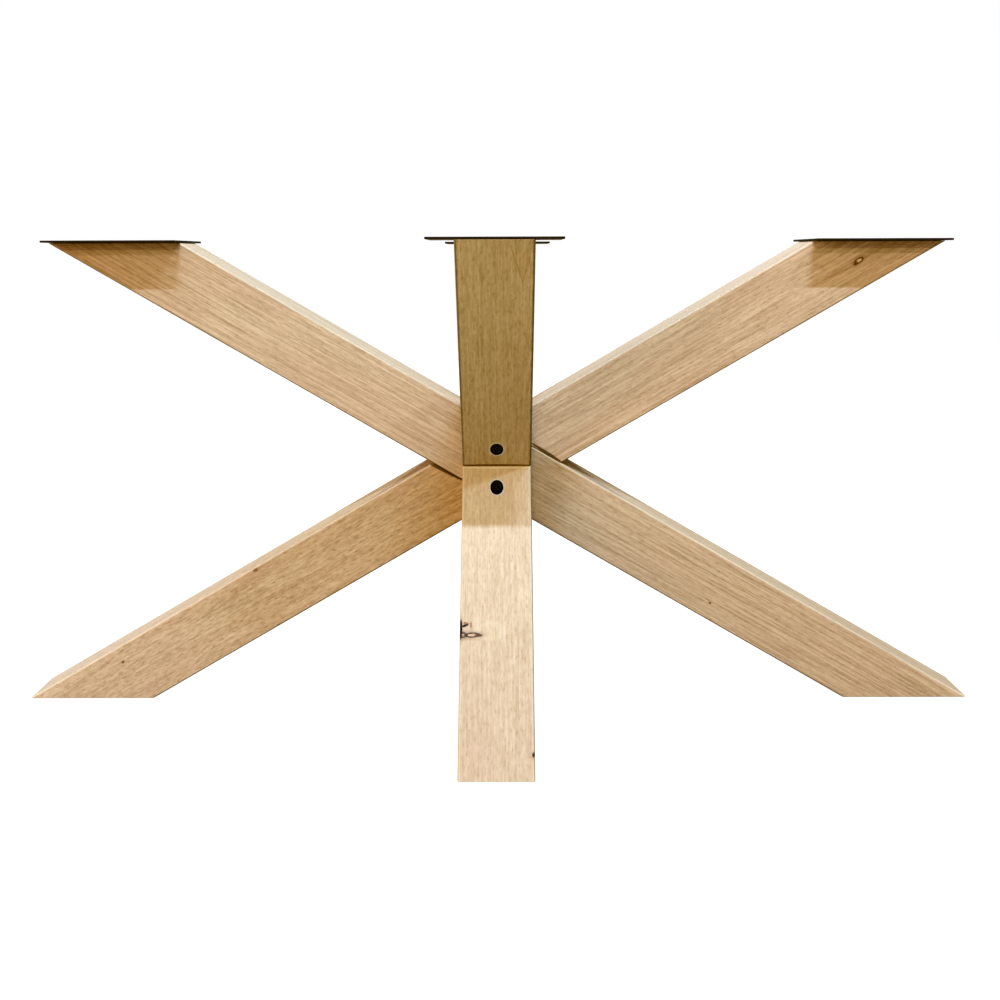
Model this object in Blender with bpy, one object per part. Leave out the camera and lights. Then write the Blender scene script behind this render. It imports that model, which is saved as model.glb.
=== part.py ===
"""Spider table base: a crossed frame of beech beams with a pair of arms bolted to its front and its back.

The crossed frame stands in the XZ plane. One beam runs through from the upper left to the lower right,
and two half beams are mitred against it. Each pair of arms is a V laid on its side: the arms meet on a
level seam at the height of the crossing, and two long bolts clamp both pairs to the through beam.
The origin is on the floor under the crossing, +Z is up and -Y is the front. All sizes are in metres.
"""

import math

import bmesh
import bpy
from mathutils import Matrix, Vector

# Overall sizes, to the sharp corners before their edges are eased
foot_span = 1.500  # between the foot tips of the crossed frame, along X
foot_depth = 0.800  # between the foot tips of the front and rear arms, along Y
overall_height = 0.720  # from the floor to the top of the plates
crossing_height = 0.380  # from the floor to the middle of the cross and to the arms' seams
seam_reach = 0.080  # from the middle of the frame out to the corner where two arms meet

# Beams
beam_thickness = 0.100  # between the two faces that lean
beam_width = 0.105  # between the two upright faces
beam_edge_radius = 0.003  # on the four long edges
cut_edge_radius = 0.001  # on the edges of every sawn end

# Fits
joint_gap = 0.0003  # between pieces that touch
bore_clearance = 0.0005  # round a bolt in its bore, on each side
cutter_overrun = 0.010  # how far a cutter or a blank reaches past what it meets

# Steel plates, each about as long as the sawn end that it covers
frame_plate_length = 0.200  # from the beam's tip inwards
arm_plate_length = 0.132
plate_width = 0.180  # across the beam
plate_thickness = 0.003
plate_corner_radius = 0.004
plate_edge_radius = 0.0004
table_hole_diameter = 0.0055
table_hole_margin = 0.012  # from the plate's edges to the middle of the hole
near_screws_reach = 0.070  # from the beam's tip to the first pair of screws
far_screws_reach = 0.112  # from the beam's tip to the second pair
screw_spread = 0.070  # between the two screws of a pair

# Countersunk wood screws
screw_length = 0.035
screw_diameter = 0.005
screw_head_diameter = 0.0095
screw_head_sink = 0.0002  # below the plate's face
screw_point_length = 0.006
star_diameter = 0.0045
star_depth = 0.0018
star_waist_share = 0.72

# Bolts, washers and nuts
bolt_spread = 0.058  # between the two bolts, one above and one below the seam
bolt_seat_wood = 0.030  # left under the washer, to the arm's back face
counterbore_diameter = 0.019
bolt_diameter = 0.010
bolt_length = 0.180  # under the head
bolt_head_diameter = 0.016
bolt_head_height = 0.010
bolt_chamfer = 0.0008
hex_socket_width = 0.008  # across flats
hex_socket_depth = 0.005
washer_diameter = 0.018
washer_thickness = 0.0016
nut_width = 0.016  # across flats
nut_height = 0.0084
nut_chamfer = 0.0007

# Dowels
cross_dowel_diameter = 0.012
cross_dowel_length = 0.080
cross_dowel_spread = 0.050
seam_dowel_diameter = 0.010
seam_dowel_length = 0.050
seam_dowel_spread = 0.064
dowel_chamfer = 0.001
flute_depth = 0.0004

# Flaws in the timber, each a hollow that tapers out along one long edge
nick_length = 0.009
nick_depth = 0.003
nick_height = 0.0275  # from the floor, on the front lower arm's right edge
knot_gap_length = 0.026
knot_gap_depth = 0.0018
knot_gap_height = 0.172  # from the floor, on the front lower arm's left edge
bark_slit_length = 0.045
bark_slit_depth = 0.0025
bark_slit_reach = 0.305  # from the crossing up the through beam's rear edge
flaw_shares = ((-1, 0), (-0.5, 0.7), (0.1, 1), (0.6, 0.6), (1, 0))  # of half its length and of its depth

# Counts, angles and limits that aren't lengths
corner_steps = 4
cut_edge_steps = 2
bore_sides = 28
turned_sides = 20
screw_sides = 16
flaw_sides = 8
star_points = 6
hex_sides = 6
sharp_angle = math.radians(35.0)
square_on = 0.9999  # two directions whose dot product is over this are one

# Worked out from the sizes above
half_thickness = beam_thickness / 2
timber_top = overall_height - plate_thickness - joint_gap
rise = timber_top - crossing_height
foot_reach = foot_span / 2
arm_foot_reach = foot_depth / 2
frame_slope = math.atan2(crossing_height, foot_reach) + math.asin(
    half_thickness / math.hypot(foot_reach, crossing_height)
)
arm_slope = math.atan2(crossing_height, arm_foot_reach - seam_reach)
frame_top_reach = rise / math.tan(frame_slope) + half_thickness / math.sin(frame_slope)
arm_top_reach = seam_reach + rise / math.tan(arm_slope)
mitre_reach = half_thickness + joint_gap
arm_back = beam_width / 2 + joint_gap
bolt_seat = arm_back + bolt_seat_wood
head_seat = bolt_seat + washer_thickness + 2 * joint_gap

centre = Vector((0, 0, crossing_height))
x_axis = Vector((1, 0, 0))
y_axis = Vector((0, 1, 0))
z_axis = Vector((0, 0, 1))
floor_cut = (Vector((0, 0, 0)), -z_axis)
top_cut = (Vector((0, 0, timber_top)), z_axis)


def clear_scene():
    for old in list(bpy.data.objects):
        bpy.data.objects.remove(old, do_unlink=True)


def make_material(name, colour, roughness, metallic=0.0):
    material = bpy.data.materials.new(name)
    material.use_nodes = True
    shader = material.node_tree.nodes["Principled BSDF"]
    shader.inputs["Base Color"].default_value = (*colour, 1)
    shader.inputs["Roughness"].default_value = roughness
    shader.inputs["Metallic"].default_value = metallic
    return material


def axes_matrix(origin, along, up):
    """A placement whose local X runs along one direction and local Z along another at right angles."""
    across = up.cross(along)
    turn = Matrix((along, across, up)).transposed()
    return Matrix.Translation(origin) @ turn.to_4x4()


def mesh_from(bm, name):
    bmesh.ops.recalc_face_normals(bm, faces=bm.faces)
    mesh = bpy.data.meshes.new(name)
    bm.to_mesh(mesh)
    bm.free()
    mesh.shade_smooth()
    mesh.set_sharp_from_angle(angle=sharp_angle)
    return mesh


def place(name, mesh, placement):
    item = bpy.data.objects.new(name, mesh)
    item.location = placement.to_translation()
    item.rotation_euler = placement.to_euler()
    bpy.context.scene.collection.objects.link(item)
    return item


def add_piece(name, mesh, material, placement):
    """Puts a piece in the scene. Pieces that share a mesh share its material too."""
    if not mesh.materials:
        mesh.materials.append(material)
    return place(name, mesh, placement)


def add_cutter(name, mesh, placement):
    cutter = place(name, mesh, placement)
    cutter.hide_render = True
    cutter.display_type = "WIRE"
    return cutter


def add_boolean(piece, cutter, operation="DIFFERENCE"):
    modifier = piece.modifiers.new(cutter.name, "BOOLEAN")
    modifier.operation = operation
    modifier.solver = "EXACT"
    modifier.object = cutter


def settle(piece):
    """Applies a piece's modifiers and shades the result, so that the rims of its holes are crisp."""
    bpy.context.view_layer.update()
    evaluated = piece.evaluated_get(bpy.context.evaluated_depsgraph_get())
    mesh = bpy.data.meshes.new_from_object(evaluated)
    mesh.name = piece.data.name
    piece.modifiers.clear()
    piece.data = mesh
    mesh.shade_smooth()
    mesh.set_sharp_from_angle(angle=sharp_angle)


def carve(mesh, tool, operation="DIFFERENCE"):
    """Cuts one mesh with another in the frame that they share, and returns the result."""
    piece = place(mesh.name, mesh, Matrix())
    cutter = add_cutter(tool.name, tool, Matrix())
    add_boolean(piece, cutter, operation)
    settle(piece)
    carved = piece.data
    bpy.data.objects.remove(piece)
    bpy.data.objects.remove(cutter)
    return carved


def turned_mesh(name, profile, sides, ring=False):
    """A solid of revolution about local Z from (radius, height) points.

    An end that isn't on the axis is closed with a flat face. A ring's profile closes on itself instead.
    """
    bm = bmesh.new()
    turns = [2 * math.pi * step / sides for step in range(sides)]
    loops = []
    for radius, height in profile:
        if radius > 0:
            spots = [(radius * math.cos(turn), radius * math.sin(turn), height) for turn in turns]
            loops.append([bm.verts.new(spot) for spot in spots])
        else:
            loops.append([bm.verts.new((0, 0, height))] * sides)
    pairs = list(zip(loops, loops[1:]))
    if ring:
        pairs.append((loops[-1], loops[0]))
    for low, high in pairs:
        for step in range(sides):
            after = (step + 1) % sides
            corners = [low[step], low[after], high[after], high[step]]
            bm.faces.new(list(dict.fromkeys(corners)))
    for loop, (radius, _) in ((loops[0], profile[0]), (loops[-1], profile[-1])):
        if radius > 0 and not ring:
            bm.faces.new(loop)
    return mesh_from(bm, name)


def prism_mesh(name, outline, low, high):
    """A straight prism along local Z over an outline of (x, y) points."""
    bm = bmesh.new()
    base = bm.faces.new([bm.verts.new((x, y, low)) for x, y in outline])
    grown = bmesh.ops.extrude_face_region(bm, geom=[base])
    top = [item for item in grown["geom"] if isinstance(item, bmesh.types.BMVert)]
    bmesh.ops.translate(bm, verts=top, vec=z_axis * (high - low))
    return mesh_from(bm, name)


def star_outline():
    """The screw's star socket: points that swing between the star's tips and its waist."""
    outline = []
    for step in range(2 * star_points):
        radius = star_diameter / 2 * (star_waist_share if step % 2 else 1)
        angle = math.pi * step / star_points
        outline.append((radius * math.cos(angle), radius * math.sin(angle)))
    return outline


def hex_outline(across_flats):
    radius = across_flats / 2 / math.cos(math.pi / hex_sides)
    angles = [2 * math.pi * step / hex_sides for step in range(hex_sides)]
    return [(radius * math.cos(angle), radius * math.sin(angle)) for angle in angles]


def rounded_outline(length, width, radius, steps):
    """The corners of a rectangle about the origin, each turned into an arc."""
    outline = []
    quarters = ((1, 1), (-1, 1), (-1, -1), (1, -1))
    for quarter, (side_x, side_y) in enumerate(quarters):
        middle_x = side_x * (length / 2 - radius)
        middle_y = side_y * (width / 2 - radius)
        for step in range(steps + 1):
            angle = (quarter + step / steps) * math.pi / 2
            outline.append((middle_x + radius * math.cos(angle), middle_y + radius * math.sin(angle)))
    return outline


def beam_mesh(name, placement, start, end, face_height, cuts):
    """A beam along local X, planed round its long edges, then sawn off flat at each cut.

    face_height is the local Z of the middle of its thickness. Each cut is a world point and the
    direction that the sawn face looks. The rims of the sawn faces are eased.
    """
    bm = bmesh.new()
    outline = rounded_outline(beam_width, beam_thickness, beam_edge_radius, corner_steps)
    blank_end = bm.faces.new([bm.verts.new((start, y, z + face_height)) for y, z in outline])
    grown = bmesh.ops.extrude_face_region(bm, geom=[blank_end])
    far = [item for item in grown["geom"] if isinstance(item, bmesh.types.BMVert)]
    bmesh.ops.translate(bm, verts=far, vec=x_axis * (end - start))

    to_local = placement.inverted()
    looks = [(to_local.to_3x3() @ look).normalized() for _, look in cuts]
    for (point, _), look in zip(cuts, looks):
        everything = bm.verts[:] + bm.edges[:] + bm.faces[:]
        sawn = bmesh.ops.bisect_plane(
            bm, geom=everything, plane_co=to_local @ point, plane_no=look, clear_outer=True
        )
        rim = [item for item in sawn["geom_cut"] if isinstance(item, bmesh.types.BMEdge)]
        bmesh.ops.contextual_create(bm, geom=rim)

    bmesh.ops.recalc_face_normals(bm, faces=bm.faces)
    bm.normal_update()
    sawn_faces = [face for face in bm.faces if any(face.normal.dot(look) > square_on for look in looks)]
    rims = {edge for face in sawn_faces for edge in face.edges}
    bmesh.ops.bevel(
        bm, geom=list(rims), offset=cut_edge_radius, segments=cut_edge_steps, profile=0.5, affect="EDGES"
    )
    return mesh_from(bm, name)


def plate_mesh(length):
    """A plate that lies on local Z = 0 and runs from the beam's tip at X = 0 inwards."""
    outline = rounded_outline(length, plate_width, plate_corner_radius, corner_steps)
    outline = [(x + length / 2, y) for x, y in outline]
    mesh = prism_mesh("top_plate", outline, 0, plate_thickness)
    bm = bmesh.new()
    bm.from_mesh(mesh)
    bpy.data.meshes.remove(mesh)
    flats = [face for face in bm.faces if abs(face.normal.dot(z_axis)) > square_on]
    rims = {edge for face in flats for edge in face.edges}
    bmesh.ops.bevel(bm, geom=list(rims), offset=plate_edge_radius, segments=1, affect="EDGES")
    return mesh_from(bm, "top_plate")


def screw_profile():
    """From the rim of the head's face at height 0 down to the point."""
    head = screw_head_diameter / 2
    shank = screw_diameter / 2
    return [
        (head, 0),
        (shank, shank - head),
        (shank, screw_point_length - screw_length),
        (0, -screw_length),
    ]


def screw_hole_profile():
    """The same shape a clearance wider and deeper, open above the head."""
    head = screw_head_diameter / 2 + joint_gap
    shank = screw_diameter / 2 + joint_gap
    return [
        (head, cutter_overrun),
        (head, 0),
        (shank, shank - head),
        (shank, screw_point_length - screw_length),
        (0, -screw_length - joint_gap),
    ]


def bolt_profile():
    """From the rim of the head's face down to the end of the shank, with the head's seat at height 0."""
    head = bolt_head_diameter / 2
    shank = bolt_diameter / 2
    return [
        (head - bolt_chamfer, bolt_head_height),
        (head, bolt_head_height - bolt_chamfer),
        (head, 0),
        (shank, 0),
        (shank, bolt_chamfer - bolt_length),
        (shank - bolt_chamfer, -bolt_length),
    ]


def bolt_hole_profile():
    """A bore through both arms and the frame, counterbored from either end down to the bolt's seats."""
    wide = counterbore_diameter / 2
    narrow = bolt_diameter / 2 + bore_clearance
    mouth = seam_reach + bolt_spread + cutter_overrun
    return [
        (wide, -mouth),
        (wide, -bolt_seat),
        (narrow, -bolt_seat),
        (narrow, bolt_seat),
        (wide, bolt_seat),
        (wide, mouth),
    ]


def cylinder_profile(diameter, length, chamfer=0.0):
    radius = diameter / 2
    reach = length / 2
    if chamfer == 0:
        return [(radius, -reach), (radius, reach)]
    return [
        (radius - chamfer, -reach),
        (radius, chamfer - reach),
        (radius, reach - chamfer),
        (radius - chamfer, reach),
    ]


def fluted_dowel_mesh(name, diameter, length):
    """A chamfered dowel with a flute pressed along every second line of its side."""
    mesh = turned_mesh(name, cylinder_profile(diameter, length, dowel_chamfer), turned_sides)
    full_radius = diameter / 2
    for vertex in mesh.vertices:
        radius = math.hypot(vertex.co.x, vertex.co.y)
        angle_step = round(math.atan2(vertex.co.y, vertex.co.x) / (2 * math.pi) * turned_sides)
        if radius > full_radius - dowel_chamfer / 2 and angle_step % 2:
            shrink = (full_radius - flute_depth) / radius
            vertex.co.x *= shrink
            vertex.co.y *= shrink
    return mesh


def build_crossed_frame(timber):
    """The through beam and the two half beams that are mitred on to its faces."""
    down_right = Vector((math.cos(frame_slope), 0, -math.sin(frame_slope)))
    up_right = Vector((math.cos(frame_slope), 0, math.sin(frame_slope)))
    face_look = Vector((math.sin(frame_slope), 0, math.cos(frame_slope)))
    top_end = math.hypot(frame_top_reach, rise) + cutter_overrun
    foot_end = math.hypot(foot_reach, crossing_height) + cutter_overrun

    through_place = axes_matrix(centre, down_right, face_look)
    upper_place = axes_matrix(centre, up_right, up_right.cross(y_axis))
    lower_place = axes_matrix(centre, -up_right, up_right.cross(y_axis))
    upper_mitre = (centre + face_look * mitre_reach, -face_look)
    lower_mitre = (centre - face_look * mitre_reach, face_look)
    plans = (
        ("through_beam", through_place, -top_end, foot_end, (floor_cut, top_cut)),
        ("upper_half_beam", upper_place, 0, top_end, (upper_mitre, top_cut)),
        ("lower_half_beam", lower_place, 0, foot_end, (lower_mitre, floor_cut)),
    )
    beams = {}
    for name, placement, start, end, cuts in plans:
        mesh = beam_mesh(name, placement, start, end, 0, cuts)
        beams[name] = add_piece(name, mesh, timber, placement)
    return beams, through_place


def build_arms(timber):
    """Four arms. Each pair meets on the seam and lies flat against the crossed frame."""
    arms = {}
    for pair, side in (("front", -1), ("rear", 1)):
        outwards = Vector((0, side, 0))
        corner = centre + outwards * seam_reach
        back_cut = (outwards * arm_back, -outwards)
        levels = (("upper", 1, rise, top_cut), ("lower", -1, crossing_height, floor_cut))
        for level, lift, height, far_cut in levels:
            along = outwards * math.cos(arm_slope) + z_axis * lift * math.sin(arm_slope)
            into_wood = z_axis * lift * math.cos(arm_slope) - outwards * math.sin(arm_slope)
            placement = axes_matrix(corner, along, into_wood)
            seam_cut = (centre + z_axis * lift * joint_gap / 2, -z_axis * lift)
            cuts = (seam_cut, back_cut, far_cut)
            end = height / math.sin(arm_slope) + cutter_overrun
            name = f"{pair}_{level}_arm"
            mesh = beam_mesh(name, placement, -seam_reach, end, half_thickness, cuts)
            arms[name] = add_piece(name, mesh, timber, placement)
    return arms


def cut_flaws(beams, arms):
    """A nick, the gap beside a knot and a slit left by bark, hollowed out of three of the long edges."""
    inset = beam_edge_radius * (1 - math.cos(math.pi / 4))
    side = beam_width / 2 - inset
    lower_arm = arms["front_lower_arm"]
    nick_reach = (crossing_height - nick_height) / math.sin(arm_slope)
    knot_reach = (crossing_height - knot_gap_height) / math.sin(arm_slope)
    slit_spot = (-bark_slit_reach, side, half_thickness - inset)
    flaws = (
        ("nick", lower_arm, (nick_reach, -side, inset), nick_length, nick_depth),
        ("knot_gap", lower_arm, (knot_reach, side, inset), knot_gap_length, knot_gap_depth),
        ("bark_slit", beams["through_beam"], slit_spot, bark_slit_length, bark_slit_depth),
    )
    along_beam = Matrix.Rotation(math.pi / 2, 4, "Y")
    for name, beam, spot, length, depth in flaws:
        profile = [(depth * deep, length / 2 * reach) for reach, deep in flaw_shares]
        spindle = turned_mesh(name, profile, flaw_sides)
        placement = beam.matrix_basis @ Matrix.Translation(spot) @ along_beam
        add_boolean(beam, add_cutter(name, spindle, placement))


def build_dowels(timber, beams, arms, through_place):
    """Two dowels in each mitre of the cross and two in each seam, with the holes that they fill."""
    mitre_shift = half_thickness / math.tan(2 * frame_slope)
    seam_middle = (seam_reach + arm_back) / 2
    cross_mesh = fluted_dowel_mesh("cross_dowel", cross_dowel_diameter, cross_dowel_length)
    seam_mesh = fluted_dowel_mesh("seam_dowel", seam_dowel_diameter, seam_dowel_length)
    plans = []
    for level, lift in (("upper", 1), ("lower", -1)):
        for end, side in (("front", -1), ("rear", 1)):
            spot = Vector((lift * mitre_shift, side * cross_dowel_spread / 2, lift * mitre_reach))
            placement = through_place @ Matrix.Translation(spot)
            sizes = (cross_dowel_diameter, cross_dowel_length)
            hosts = (beams["through_beam"], beams[f"{level}_half_beam"])
            plans.append((f"{level}_cross_dowel_{end}", cross_mesh, placement, sizes, hosts))
    for pair, side in (("front", -1), ("rear", 1)):
        for hand, across in (("left", -1), ("right", 1)):
            spot = centre + Vector((across * seam_dowel_spread / 2, side * seam_middle, 0))
            sizes = (seam_dowel_diameter, seam_dowel_length)
            hosts = (arms[f"{pair}_upper_arm"], arms[f"{pair}_lower_arm"])
            plans.append((f"{pair}_seam_dowel_{hand}", seam_mesh, Matrix.Translation(spot), sizes, hosts))
    for name, mesh, placement, (diameter, length), hosts in plans:
        add_piece(name, mesh, timber, placement)
        hole = cylinder_profile(diameter + 2 * joint_gap, length + 2 * joint_gap)
        cutter = add_cutter(f"{name}_hole", turned_mesh(f"{name}_hole", hole, turned_sides), placement)
        for host in hosts:
            add_boolean(host, cutter)


def build_bolts(steel, beams, arms):
    """Two long socket bolts with their washers and nuts, deep in counterbores in the arms."""
    hole_mesh = turned_mesh("bolt_hole", bolt_hole_profile(), bore_sides)
    socket_floor = bolt_head_height - hex_socket_depth
    socket = prism_mesh(
        "hex_socket", hex_outline(hex_socket_width), socket_floor, bolt_head_height + cutter_overrun
    )
    bolt_mesh = carve(turned_mesh("bolt", bolt_profile(), turned_sides), socket)
    washer_mesh = turned_mesh("washer", washer_profile(), turned_sides, ring=True)
    finished_nut = nut_mesh()
    forwards = axes_matrix(Vector((0, 0, 0)), x_axis, -y_axis)
    backwards = axes_matrix(Vector((0, 0, 0)), -x_axis, y_axis)

    for level, lift in (("upper", 1), ("lower", -1)):
        line = Matrix.Translation(centre + z_axis * lift * bolt_spread / 2)
        hole = add_cutter(f"{level}_bolt_hole", hole_mesh, line @ forwards)
        for host in (arms[f"front_{level}_arm"], beams["through_beam"], arms[f"rear_{level}_arm"]):
            add_boolean(host, hole)

        seat = Matrix.Translation(z_axis * head_seat)
        add_piece(f"{level}_bolt", bolt_mesh, steel, line @ forwards @ seat)
        add_piece(f"{level}_bolt_nut", finished_nut, steel, line @ backwards @ seat)
        washer_seat = Matrix.Translation(z_axis * (bolt_seat + joint_gap))
        for end, facing in (("front", forwards), ("rear", backwards)):
            add_piece(f"{level}_bolt_{end}_washer", washer_mesh, steel, line @ facing @ washer_seat)


def washer_profile():
    bore = bolt_diameter / 2 + joint_gap
    rim = washer_diameter / 2
    return [(bore, 0), (rim, 0), (rim, washer_thickness), (bore, washer_thickness)]


def nut_mesh():
    """A hexagon whose corners are turned down to chamfers on both faces, and then bored."""
    blank = prism_mesh("nut", hex_outline(nut_width), 0, nut_height)
    corner_radius = nut_width / 2 / math.cos(math.pi / hex_sides)
    barrel = [
        (nut_width / 2, 0),
        (corner_radius, nut_chamfer),
        (corner_radius, nut_height - nut_chamfer),
        (nut_width / 2, nut_height),
    ]
    bore = cylinder_profile(bolt_diameter + 2 * joint_gap, 2 * (nut_height + cutter_overrun))
    turned_down = carve(blank, turned_mesh("nut_barrel", barrel, bore_sides), "INTERSECT")
    return carve(turned_down, turned_mesh("nut_bore", bore, turned_sides))


def build_plates(plate_steel, screw_steel, beams, arms):
    """A plate on each raised beam, flush with its tip, with its wood screws and its holes for the top."""
    frame_blank = plate_mesh(frame_plate_length)
    arm_blank = plate_mesh(arm_plate_length)
    places = (
        ("left", x_axis, frame_top_reach, frame_blank, frame_plate_length, beams["through_beam"]),
        ("right", -x_axis, frame_top_reach, frame_blank, frame_plate_length, beams["upper_half_beam"]),
        ("front", y_axis, arm_top_reach, arm_blank, arm_plate_length, arms["front_upper_arm"]),
        ("rear", -y_axis, arm_top_reach, arm_blank, arm_plate_length, arms["rear_upper_arm"]),
    )
    star_socket = prism_mesh("star_socket", star_outline(), -star_depth, cutter_overrun)
    screw_mesh = carve(turned_mesh("plate_screw", screw_profile(), screw_sides), star_socket)
    screw_hole = turned_mesh("screw_hole", screw_hole_profile(), screw_sides)
    table_bore = cylinder_profile(table_hole_diameter, 2 * (plate_thickness + cutter_overrun))
    table_hole = turned_mesh("table_hole", table_bore, screw_sides)
    screw_height = plate_thickness - screw_head_sink
    screw_spots = [
        Vector((reach, side * screw_spread / 2, screw_height))
        for reach in (near_screws_reach, far_screws_reach)
        for side in (-1, 1)
    ]
    hole_offset = plate_width / 2 - table_hole_margin

    for side_name, inwards, reach, blank, length, beam in places:
        tip = -inwards * reach + z_axis * (timber_top + joint_gap)
        placement = axes_matrix(tip, inwards, z_axis)
        plate = add_piece(f"{side_name}_top_plate", blank.copy(), plate_steel, placement)
        for number, spot in enumerate(screw_spots, 1):
            spot_place = placement @ Matrix.Translation(spot)
            name = f"{side_name}_plate_screw_{number}"
            add_piece(name, screw_mesh, screw_steel, spot_place)
            hole = add_cutter(f"{name}_hole", screw_hole, spot_place)
            add_boolean(plate, hole)
            add_boolean(beam, hole)
        hole_spots = [
            Vector((hole_reach, side * hole_offset, 0))
            for hole_reach in (table_hole_margin, length - table_hole_margin)
            for side in (-1, 1)
        ]
        for number, spot in enumerate(hole_spots, 1):
            spot_place = placement @ Matrix.Translation(spot)
            add_boolean(plate, add_cutter(f"{side_name}_table_hole_{number}", table_hole, spot_place))
        settle(plate)


def build():
    clear_scene()
    timber = make_material("beech", (0.66, 0.47, 0.29), 0.55)
    plate_steel = make_material("black_steel", (0.022, 0.018, 0.016), 0.42, 0.9)
    fastener_steel = make_material("black_oxide", (0.02, 0.02, 0.022), 0.38, 1.0)

    beams, through_place = build_crossed_frame(timber)
    arms = build_arms(timber)
    cut_flaws(beams, arms)
    build_dowels(timber, beams, arms, through_place)
    build_bolts(fastener_steel, beams, arms)
    build_plates(plate_steel, fastener_steel, beams, arms)
    for piece in (*beams.values(), *arms.values()):
        settle(piece)
    for item in [item for item in bpy.data.objects if item.hide_render]:
        bpy.data.objects.remove(item)


build()
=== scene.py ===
import math

import bmesh
import bpy
from mathutils import Matrix, Vector


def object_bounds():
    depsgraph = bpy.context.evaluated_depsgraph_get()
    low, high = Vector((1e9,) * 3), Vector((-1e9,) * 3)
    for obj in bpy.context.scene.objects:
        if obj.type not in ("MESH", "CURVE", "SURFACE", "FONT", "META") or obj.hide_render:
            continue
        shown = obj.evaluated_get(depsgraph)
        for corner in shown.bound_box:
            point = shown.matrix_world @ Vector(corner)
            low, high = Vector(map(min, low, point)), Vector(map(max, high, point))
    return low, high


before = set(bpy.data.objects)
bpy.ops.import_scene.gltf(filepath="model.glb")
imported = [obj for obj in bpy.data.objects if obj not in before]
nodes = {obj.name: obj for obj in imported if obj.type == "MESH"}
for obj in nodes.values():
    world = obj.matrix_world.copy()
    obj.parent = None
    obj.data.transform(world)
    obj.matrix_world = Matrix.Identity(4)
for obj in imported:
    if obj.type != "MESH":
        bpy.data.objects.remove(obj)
cadLow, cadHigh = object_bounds()
print("frame loaded:", len(nodes), "pieces")


# Small helpers that keep the node trees short

def addNode(tree, kind, settings=None, **sockets):
    node = tree.nodes.new(kind)
    for name, value in (settings or {}).items():
        setattr(node, name, value)
    for name, value in sockets.items():
        setSocket(tree, node.inputs[name.replace("_", " ")], value)
    return node


def setSocket(tree, socket, value):
    if isinstance(value, bpy.types.NodeSocket):
        tree.links.new(value, socket)
    elif hasattr(value, "__len__") and len(value) == 3 and len(socket.default_value) == 4:
        socket.default_value = (*value, 1)
    else:
        socket.default_value = value


def calc(tree, operation, first, second=None, third=None, clamp=False):
    node = tree.nodes.new("ShaderNodeMath")
    node.operation = operation
    node.use_clamp = clamp
    for socket, value in zip(node.inputs, (first, second, third)):
        if value is not None:
            setSocket(tree, socket, value)
    return node.outputs[0]


def centred(tree, share):
    return calc(tree, "SUBTRACT", share, 0.5)


def oneMinus(tree, share):
    return calc(tree, "SUBTRACT", 1.0, share)


def calcVector(tree, operation, first, second=None):
    node = tree.nodes.new("ShaderNodeVectorMath")
    node.operation = operation
    for socket, value in zip(node.inputs, (first, second)):
        if value is not None:
            setSocket(tree, socket, value)
    return node.outputs["Value" if operation in ("LENGTH", "DOT_PRODUCT") else "Vector"]


def splitVector(tree, vector):
    return addNode(tree, "ShaderNodeSeparateXYZ", Vector=vector).outputs


def objectPlace(tree):
    return addNode(tree, "ShaderNodeTexCoord").outputs["Object"]


def spread(tree, value, low, high, outLow=0.0, outHigh=1.0):
    node = addNode(tree, "ShaderNodeMapRange", {"interpolation_type": "SMOOTHSTEP"})
    for socket, given in zip(node.inputs, (value, low, high, outLow, outHigh)):
        setSocket(tree, socket, given)
    return node.outputs["Result"]


def blendColour(tree, share, under, over, mode="MIX"):
    node = addNode(tree, "ShaderNodeMix", {"data_type": "RGBA", "blend_type": mode})
    setSocket(tree, node.inputs["Factor"], share)
    colours = [socket for socket in node.inputs if socket.type == "RGBA"]
    setSocket(tree, colours[0], under)
    setSocket(tree, colours[1], over)
    return next(socket for socket in node.outputs if socket.type == "RGBA")


def tinted(tree, colour, tint):
    return blendColour(tree, 1.0, colour, tint, "MULTIPLY")


def noise(tree, vector, stretch, detail=2.0, roughness=0.5, seed=0.0):
    place = calcVector(tree, "MULTIPLY", vector, stretch)
    node = addNode(
        tree, "ShaderNodeTexNoise", {"noise_dimensions": "4D"},
        Vector=place, W=seed, Scale=1.0, Detail=detail, Roughness=roughness,
    )
    return node.outputs["Fac"]


def newGroup(name, inputs, outputs):
    tree = bpy.data.node_groups.new(name, "ShaderNodeTree")
    kinds = {"number": "NodeSocketFloat", "vector": "NodeSocketVector", "colour": "NodeSocketColor"}
    for label, kind, value in inputs:
        socket = tree.interface.new_socket(label, in_out="INPUT", socket_type=kinds[kind])
        if value is not None:
            socket.default_value = (*value, 1) if kind == "colour" else value
    for label, kind in outputs:
        tree.interface.new_socket(label, in_out="OUTPUT", socket_type=kinds[kind])
    given = tree.nodes.new("NodeGroupInput").outputs
    return tree, given, tree.nodes.new("NodeGroupOutput").inputs


def placeGroup(tree, group, **sockets):
    node = tree.nodes.new("ShaderNodeGroup")
    node.node_tree = group
    for name, value in sockets.items():
        setSocket(tree, node.inputs[name.replace("_", " ")], value)
    return node.outputs


def newMaterial(name):
    material = bpy.data.materials.new(name)
    material.use_nodes = True
    tree = material.node_tree
    return material, tree, tree.nodes["Principled BSDF"]


def addBump(tree, shader, look, height):
    bump = addNode(
        tree, "ShaderNodeBump",
        Strength=look["bumpStrength"], Distance=look["bumpDistance"], Height=height,
    )
    setSocket(tree, shader.inputs["Normal"], bump.outputs["Normal"])


def dress(node, material):
    node.data.materials.clear()
    node.data.materials.append(material)


# Beech as a solid: growth rings round a pith, fibres along it, flecks and slow changes of hue.
# The vector is in metres along the beam, across it and through it, and a stretch is in cycles
# per metre the same three ways.

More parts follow.
